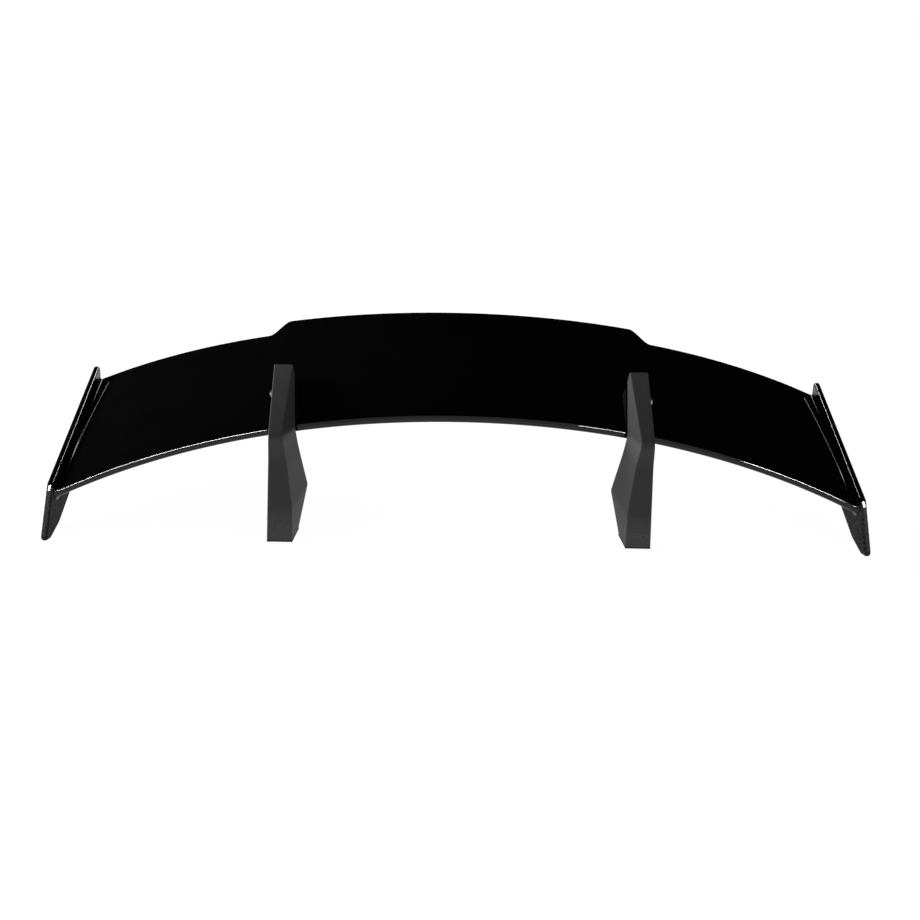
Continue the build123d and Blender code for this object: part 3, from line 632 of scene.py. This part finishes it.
class Paint(Wiring):
    """A node material under construction, in the object's own metres."""

    def __init__(self, name, colour, metallic=0.0, roughness=0.5):
        self.material = bpy.data.materials.new(name)
        self.material.use_nodes = True
        super().__init__(self.material.node_tree)
        self.surface = self.nodes["Principled BSDF"]
        self.surface.inputs["Base Color"].default_value = (*colour, 1.0)
        self.surface.inputs["Metallic"].default_value = metallic
        self.surface.inputs["Roughness"].default_value = roughness
        self.place = self.nodes.new("ShaderNodeTexCoord").outputs["Object"]

    def scaled(self, stretch):
        """Object position, stretched, so that a pattern becomes lines."""
        mapping = self.nodes.new("ShaderNodeMapping")
        mapping.inputs["Scale"].default_value = stretch
        self.link(self.place, mapping.inputs["Vector"])
        return mapping.outputs["Vector"]

    def noise(self, scale, detail=3.0, stretch=None):
        """Noise value. The scale is in cycles per metre."""
        node = self.nodes.new("ShaderNodeTexNoise")
        node.inputs["Scale"].default_value = scale
        node.inputs["Detail"].default_value = detail
        self.link(self.scaled(stretch) if stretch else self.place, node.inputs["Vector"])
        return node.outputs["Fac"]

    def grains(self, scale):
        """Rounded pebbles, as on moulded plastic."""
        node = self.nodes.new("ShaderNodeTexVoronoi")
        node.feature = "SMOOTH_F1"
        node.inputs["Scale"].default_value = scale
        self.link(self.place, node.inputs["Vector"])
        return node.outputs["Distance"]

    def spread(self, value, low, high, from_low=0.3, from_high=0.7):
        """The value, mapped from its usual range to low..high."""
        node = self.nodes.new("ShaderNodeMapRange")
        limits = {"From Min": from_low, "From Max": from_high, "To Min": low, "To Max": high}
        for key, number in limits.items():
            node.inputs[key].default_value = number
        self.link(value, node.inputs["Value"])
        return node.outputs["Result"]

    def blend(self, factor, first, second):
        """Mix of two colours, each an (r, g, b) or a socket."""
        node = self.nodes.new("ShaderNodeMix")
        node.data_type = "RGBA"
        self.link(factor, node.inputs[0])
        for socket, colour in ((node.inputs[6], first), (node.inputs[7], second)):
            if isinstance(colour, tuple):
                socket.default_value = (*colour, 1.0)
            else:
                self.link(colour, socket)
        return node.outputs[2]

    def colour(self, socket):
        self.link(socket, self.surface.inputs["Base Color"])

    def rough(self, socket):
        self.link(socket, self.surface.inputs["Roughness"])

    def bump(self, height, depth, under=None):
        """Bump of the given depth in metres, over another bump if there is one."""
        node = self.nodes.new("ShaderNodeBump")
        node.inputs["Distance"].default_value = depth
        self.link(height, node.inputs["Height"])
        if under:
            self.link(under, node.inputs["Normal"])
        self.link(node.outputs["Normal"], self.surface.inputs["Normal"])
        return node.outputs["Normal"]

    def edges(self, low=0.51, high=0.56):
        """1 on convex edges, 0 elsewhere."""
        geometry = self.nodes.new("ShaderNodeNewGeometry")
        return self.spread(geometry.outputs["Pointiness"], 0.0, 1.0, low, high)

    def coat(self, weight, roughness):
        self.surface.inputs["Coat Weight"].default_value = weight
        self.surface.inputs["Coat Roughness"].default_value = roughness


def gloss_black(name):
    """Deep gloss black lacquer with faint orange peel and hairline swirls."""
    paint = Paint(name, (0.0016, 0.0016, 0.0018), roughness=0.2)
    swirls = paint.noise(900.0, 5.0, (1.0, 0.12, 1.0))
    paint.rough(paint.spread(swirls, 0.05, 0.11))
    paint.colour(paint.blend(paint.noise(14.0), (0.0012, 0.0012, 0.0013), (0.002, 0.002, 0.0023)))
    paint.bump(paint.noise(260.0, 2.0), 0.000003)
    paint.coat(LACQUER_COAT, 0.03)
    return paint


def wing_gloss():
    """Gloss black for the skins."""
    return gloss_black("wing_gloss").material


def grain_mask(paint):
    """1 on the grained part of an end plate: below the chord, away from its outer face."""
    position = paint.nodes.new("ShaderNodeSeparateXYZ")
    paint.link(paint.place, position.inputs["Vector"])
    lead = to_frame(wing_point(HALF_SPAN, 0.0, 0.0))
    behind_lead = paint.math("SUBTRACT", position.outputs["Y"], lead.y)
    chord_rise = paint.math("MULTIPLY", behind_lead, math.tan(INCIDENCE))
    above_lead = paint.math("SUBTRACT", position.outputs["Z"], lead.z)
    height = paint.math("SUBTRACT", above_lead, chord_rise)
    ahead = paint.math("LESS_THAN", position.outputs["Y"], lead.y)
    limit = paint.math("MULTIPLY", ahead, GRAIN_RISE_AHEAD * MM)
    is_below = paint.math("LESS_THAN", height, limit)
    from_middle = paint.math("ABSOLUTE", position.outputs["X"], 0.0)
    is_inside = paint.math("LESS_THAN", from_middle, (PLATE_OUTER - GRAIN_FREE_RIM) * MM)
    return paint.math("MULTIPLY", is_below, is_inside)


def end_plate_gloss(side):
    """Gloss black, with a grained dark-grey inner face and rim below the wing."""
    paint = gloss_black("end_plate_gloss_" + side)
    grained = grain_mask(paint)
    lumps = paint.noise(210.0, 6.0)
    dark_share = paint.spread(lumps, 0.0, 1.0, 0.42, 0.62)
    speckle = paint.blend(dark_share, (0.003, 0.003, 0.003), (0.032, 0.032, 0.033))
    smooth_colour = paint.surface.inputs["Base Color"].links[0].from_socket
    smooth_rough = paint.surface.inputs["Roughness"].links[0].from_socket
    paint.colour(paint.blend(grained, smooth_colour, speckle))
    rough = paint.nodes.new("ShaderNodeMix")
    paint.link(grained, rough.inputs[0])
    paint.link(smooth_rough, rough.inputs[2])
    rough.inputs[3].default_value = GRAIN_ROUGHNESS
    paint.rough(rough.outputs[0])
    smooth = paint.math("SUBTRACT", 1.0, grained)
    paint.link(paint.math("MULTIPLY", smooth, LACQUER_COAT), paint.surface.inputs["Coat Weight"])
    paint.link(paint.spread(smooth, 0.15, 0.5, 0.0, 1.0), paint.surface.inputs["Specular IOR Level"])
    peel = paint.surface.inputs["Normal"].links[0].from_socket
    paint.bump(paint.math("MULTIPLY", lumps, grained), GRAIN_DEPTH, peel)
    return paint.material


def cover_plastic():
    """Satin dark-grey moulded plastic with a fine grain, and convex edges painted lighter as a highlight.
    """
    paint = Paint("cover_plastic", (0.032, 0.032, 0.033), roughness=0.42)
    cloud = paint.noise(45.0, 4.0)
    body = paint.blend(cloud, (0.029, 0.029, 0.030), (0.037, 0.037, 0.038))
    # painted highlight: convex edges lightened towards pale grey, broken up by noise
    painted_edge_highlight = paint.math("MULTIPLY", paint.edges(), paint.spread(paint.noise(300.0), 0.3, 1.0))
    paint.colour(paint.blend(painted_edge_highlight, body, (0.085, 0.085, 0.086)))
    paint.rough(paint.spread(paint.noise(1500.0), 0.36, 0.5))
    paint.bump(paint.grains(1300.0), 0.00006)
    return paint.material


def spar_tube():
    """Extruded aluminium with drawing lines along the span."""
    paint = Paint("spar_tube", (0.62, 0.63, 0.65), metallic=1.0)
    lines = paint.noise(1800.0, 2.0, (0.01, 1.0, 1.0))
    paint.rough(paint.spread(lines, 0.22, 0.42))
    paint.colour(paint.blend(paint.noise(60.0), (0.56, 0.57, 0.59), (0.68, 0.69, 0.70)))
    paint.bump(lines, 0.00002)
    return paint.material


def rib_plastic():
    """Grained black plastic."""
    paint = Paint("rib_plastic", (0.03, 0.03, 0.032), roughness=0.6)
    paint.colour(paint.blend(paint.noise(120.0), (0.024, 0.024, 0.026), (0.036, 0.036, 0.038)))
    paint.bump(paint.grains(900.0), 0.00008)
    return paint.material


def machined_aluminium():
    """Milled aluminium: fine parallel cutter lines and a slightly uneven sheen."""
    paint = Paint("machined_aluminium", (0.70, 0.71, 0.72), metallic=1.0)
    lines = paint.noise(2600.0, 1.0, (1.0, 0.03, 1.0))
    paint.rough(paint.spread(lines, 0.2, 0.36))
    paint.colour(paint.blend(paint.noise(90.0), (0.62, 0.63, 0.64), (0.76, 0.77, 0.78)))
    paint.bump(lines, 0.000015)
    return paint.material


def pad_rubber():
    """Matte rubber with uneven grey."""
    paint = Paint("pad_rubber", (0.018, 0.018, 0.018), roughness=0.85)
    paint.colour(paint.blend(paint.noise(400.0, 6.0), (0.013, 0.013, 0.013), (0.03, 0.03, 0.029)))
    paint.bump(paint.noise(1400.0, 4.0), 0.0001)
    return paint.material


def neck_plate_paint():
    """Powder coat: satin black with a soft orange peel."""
    paint = Paint("neck_plate_paint", (0.03, 0.03, 0.032), roughness=0.45)
    paint.colour(paint.blend(paint.noise(70.0), (0.024, 0.024, 0.026), (0.035, 0.035, 0.037)))
    paint.rough(paint.spread(paint.noise(500.0), 0.38, 0.52))
    paint.bump(paint.noise(700.0, 2.0), 0.00005)
    return paint.material


def black_screws():
    """Black oxide: dark, slightly brown, with bright rubbed edges."""
    paint = Paint("black_screws", (0.03, 0.03, 0.03), metallic=0.8, roughness=0.35)
    body = paint.blend(paint.noise(900.0, 4.0), (0.022, 0.021, 0.020), (0.045, 0.044, 0.044))
    paint.colour(paint.blend(paint.edges(), body, (0.3, 0.3, 0.3)))
    paint.rough(paint.spread(paint.noise(2000.0), 0.28, 0.45))
    return paint.material


def steel_fasteners():
    """Bright zinc plate with turning marks and a faint blue tint."""
    paint = Paint("steel_fasteners", (0.6, 0.6, 0.61), metallic=1.0)
    paint.colour(paint.blend(paint.noise(350.0, 4.0), (0.52, 0.53, 0.56), (0.70, 0.69, 0.68)))
    paint.rough(paint.spread(paint.noise(3000.0, 2.0), 0.2, 0.38))
    paint.bump(paint.noise(3500.0, 1.0, (1.0, 0.2, 0.2)), 0.00001)
    return paint.material


def cap_chrome():
    """Polished chrome with faint smears."""
    paint = Paint("cap_chrome", (0.8, 0.8, 0.82), metallic=1.0)
    paint.colour(paint.blend(paint.noise(500.0), (0.74, 0.74, 0.77), (0.85, 0.85, 0.86)))
    paint.rough(paint.spread(paint.noise(4000.0, 5.0), 0.05, 0.14))
    return paint.material


def bush_brass():
    """Turned brass with lines round its axis."""
    paint = Paint("bush_brass", (0.72, 0.55, 0.28), metallic=1.0)
    paint.colour(paint.blend(paint.noise(600.0, 4.0), (0.60, 0.44, 0.20), (0.78, 0.60, 0.32)))
    paint.rough(paint.spread(paint.noise(3000.0, 2.0, (0.1, 1.0, 1.0)), 0.2, 0.35))
    return paint.material


def floor_white():
    """Pale floor, mostly self-lit so that shadows stay faint. It is clear from below."""
    paint = Paint("floor_white", (0.1, 0.1, 0.1), roughness=0.9)
    paint.colour(paint.blend(paint.noise(3.0), (0.095, 0.095, 0.095), (0.105, 0.105, 0.105)))
    paint.surface.inputs["Specular IOR Level"].default_value = 0.0
    paint.surface.inputs["Emission Color"].default_value = (1.0, 1.0, 1.0, 1.0)
    seen = paint.nodes.new("ShaderNodeLightPath").outputs["Is Camera Ray"]
    strength = paint.spread(seen, FLOOR_BOUNCE, FLOOR_GLOW, 0.0, 1.0)
    paint.link(strength, paint.surface.inputs["Emission Strength"])
    clear = paint.nodes.new("ShaderNodeBsdfTransparent").outputs["BSDF"]
    from_below = paint.nodes.new("ShaderNodeNewGeometry").outputs["Backfacing"]
    surface = paint.mix_shaders(from_below, paint.surface.outputs["BSDF"], clear)
    paint.link(surface, paint.nodes["Material Output"].inputs["Surface"])
    return paint.material


def set_material(obj, material):
    """Makes the material the only one of the object."""
    obj.data.materials.clear()
    obj.data.materials.append(material)


# ---- lighting -----------------------------------------------------------------------------
class Sky(Wiring):
    """World whose reflections are soft boxes over darkness. The camera sees plain white."""

    def __init__(self):
        world = bpy.data.worlds.new("studio")
        bpy.context.scene.world = world
        world.use_nodes = True
        super().__init__(world.node_tree)
        self.nodes.clear()
        direction = self.nodes.new("ShaderNodeTexCoord").outputs["Generated"]
        split = self.nodes.new("ShaderNodeSeparateXYZ")
        self.link(direction, split.inputs["Vector"])
        self.axes = {axis: split.outputs[axis] for axis in "XYZ"}

    def window(self, axis, low, high, soft):
        """1 where the direction's component lies between low and high, with soft sides."""
        result = None
        for start, end in ((low - soft, low), (high + soft, high)):
            node = self.nodes.new("ShaderNodeMapRange")
            node.interpolation_type = "SMOOTHSTEP"
            node.inputs["From Min"].default_value = start
            node.inputs["From Max"].default_value = end
            self.link(self.axes[axis], node.inputs["Value"])
            ramp = node.outputs["Result"]
            result = ramp if result is None else self.math("MULTIPLY", result, ramp)
        return result

    def box(self, strength, **ranges):
        """A soft box from (low, high, soft) ranges of the direction's components."""
        result = strength
        for axis, limits in ranges.items():
            result = self.math("MULTIPLY", self.window(axis, *limits), result)
        return result

    def background(self, strength):
        """Plain white of a strength given as a number or a socket."""
        node = self.nodes.new("ShaderNodeBackground")
        node.inputs["Color"].default_value = (1.0, 1.0, 1.0, 1.0)
        if isinstance(strength, float):
            node.inputs["Strength"].default_value = strength
        else:
            self.link(strength, node.inputs["Strength"])
        return node.outputs["Background"]


def make_world():
    """White for the camera, two soft boxes for reflections, brighter sides for the rest."""
    sky = Sky()
    horizon = sky.box(HORIZON_GLOW, Z=(-1.0, 0.1, 0.15))
    front = sky.box(FRONT_GLOW, Y=(-1.0, -0.35, 0.3), Z=(0.1, 1.0, 0.1))
    mirrored = sky.math("ADD", horizon, front)
    sides = sky.math("MULTIPLY", sky.math("ABSOLUTE", sky.axes["X"], 0.0), ROOM_SIDE_GLOW)
    room = sky.math("ADD", sides, ROOM_GLOW)
    ray = sky.nodes.new("ShaderNodeLightPath")
    seen = sky.mix_shaders(ray.outputs["Is Glossy Ray"], sky.background(room), sky.background(mirrored))
    seen = sky.mix_shaders(ray.outputs["Is Camera Ray"], seen, sky.background(BACKDROP_GLOW))
    output = sky.nodes.new("ShaderNodeOutputWorld")
    sky.link(seen, output.inputs["Surface"])


def make_light(name, start, end, target, width, glow):
    """Rectangular light between two points, facing a target. It is never seen directly."""
    start, end, target = Vector(start), Vector(end), Vector(target)
    along = (end - start).normalized()
    away = (start + end) / 2 - target
    away = (away - along * away.dot(along)).normalized()
    data = bpy.data.lights.new(name, "AREA")
    data.shape = "RECTANGLE"
    data.size = (end - start).length
    data.size_y = width
    data.energy = glow * math.pi * data.size * data.size_y
    light = bpy.data.objects.new(name, data)
    bpy.context.scene.collection.objects.link(light)
    turn = Matrix((along, away.cross(along), away)).transposed()
    light.matrix_world = Matrix.Translation((start + end) / 2) @ turn.to_4x4()
    light.visible_camera = False
    return light


def reflect_only_in(light, pieces):
    """Restricts a light to the reflections in some of the pieces."""
    receivers = bpy.data.collections.new(light.name + "_receivers")
    for piece in pieces:
        receivers.objects.link(piece)
    light.light_linking.receiver_collection = receivers
    light.visible_diffuse = False


def make_lights(skins, plates):
    """A side light on the arms, and thin lights that draw lines along nose and tips."""
    side = make_light("side_light", *SIDE_LIGHT)
    side.visible_glossy = False
    strip = make_light("plate_strip", *PLATE_STRIP)
    reflect_only_in(strip, plates)
    for name, start, end, width, glow in NOSE_TUBES:
        nose = to_frame(wing_point((start[0] + end[0]) / 2 * TUBE_AIM, 0.0, 0.0))
        tube = make_light(name, to_frame(start), to_frame(end), nose, width, glow)
        reflect_only_in(tube, skins + plates)


def make_floor():
    """Large disc under the wing, level with the lowest point of the part."""
    level = cad_box[0].z - FLOOR_GAP
    rim = []
    for i in range(FLOOR_SIDES):
        angle = 2 * math.pi * i / FLOOR_SIDES
        rim.append((FLOOR_RADIUS * math.cos(angle), FLOOR_RADIUS * math.sin(angle), level))
    mesh = bpy.data.meshes.new("floor")
    mesh.from_pydata(rim, [], [tuple(range(FLOOR_SIDES))])
    floor = bpy.data.objects.new("floor", mesh)
    bpy.context.scene.collection.objects.link(floor)
    set_material(floor, floor_white())


def make_camera():
    """Camera in front of the wing and above it, a little left of the middle."""
    data = bpy.data.cameras.new("camera")
    data.lens = CAMERA_LENS
    data.sensor_width = CAMERA_SENSOR
    data.clip_end = CAMERA_REACH
    camera = bpy.data.objects.new("camera", data)
    bpy.context.scene.collection.objects.link(camera)
    camera.location = to_frame(CAMERA_PLACE)
    level = math.cos(CAMERA_PITCH)
    forward = Vector((-math.sin(CAMERA_YAW) * level, math.cos(CAMERA_YAW) * level, -math.sin(CAMERA_PITCH)))
    roll = Quaternion((0, 0, 1), CAMERA_ROLL)
    camera.rotation_mode = "QUATERNION"
    camera.rotation_quaternion = forward.to_track_quat("-Z", "Y") @ roll
    bpy.context.scene.camera = camera
    bpy.context.scene.view_settings.view_transform = "Standard"


# ---- assembly -----------------------------------------------------------------------------
def place(piece, body, node, material):
    """Puts a rebuilt piece on its body in place of a CAD node."""
    set_material(piece, material)
    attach(piece, body)
    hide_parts(node)


def paint_cad_nodes():
    """Gives every CAD node except the end plates the material of its slot in the record."""
    makers = {
        "wing_gloss": wing_gloss,
        "spar_tube": spar_tube,
        "rib_plastic": rib_plastic,
        "machined_aluminium": machined_aluminium,
        "pad_rubber": pad_rubber,
        "neck_plate_paint": neck_plate_paint,
        "cover_plastic": cover_plastic,
        "black_screws": black_screws,
        "steel_fasteners": steel_fasteners,
        "cap_chrome": cap_chrome,
        "bush_brass": bush_brass,
    }
    made = {slot: maker() for slot, maker in makers.items()}
    for side in SIDES:
        made["end_plate_gloss_" + side] = end_plate_gloss(side)
    for part in frame["record"]["subparts"]:
        slot = part["material_slot"]
        if slot != "end_plate_gloss":
            set_material(frame["nodes"][part["node"]], made[slot])
    return made


def build():
    """Makes and places the rebuilt pieces, and returns the skins and the end plates."""
    made = paint_cad_nodes()
    skins, plates = [], []
    for name, upper in (("upper_skin", True), ("lower_skin", False)):
        skin = make_skin(name, upper)
        place(skin, "wing", "wing_" + name, made["wing_gloss"])
        skins.append(skin)
    for side, sign in SIDES.items():
        plate = make_end_plate("side_plate_" + side, sign)
        place(plate, "wing", "end_plate_" + side, made["end_plate_gloss_" + side])
        plates.append(plate)
        cover = make_cover("upright_cover_" + side, sign)
        place(cover, "uprights", "neck_cover_" + side, made["cover_plastic"])
        lid = make_lid("upright_lid_" + side, sign)
        place(lid, "uprights", "cover_lid_" + side, made["cover_plastic"])
    return skins, plates


skins, plates = build()
make_world()
make_lights(skins, plates)
make_floor()
make_camera()
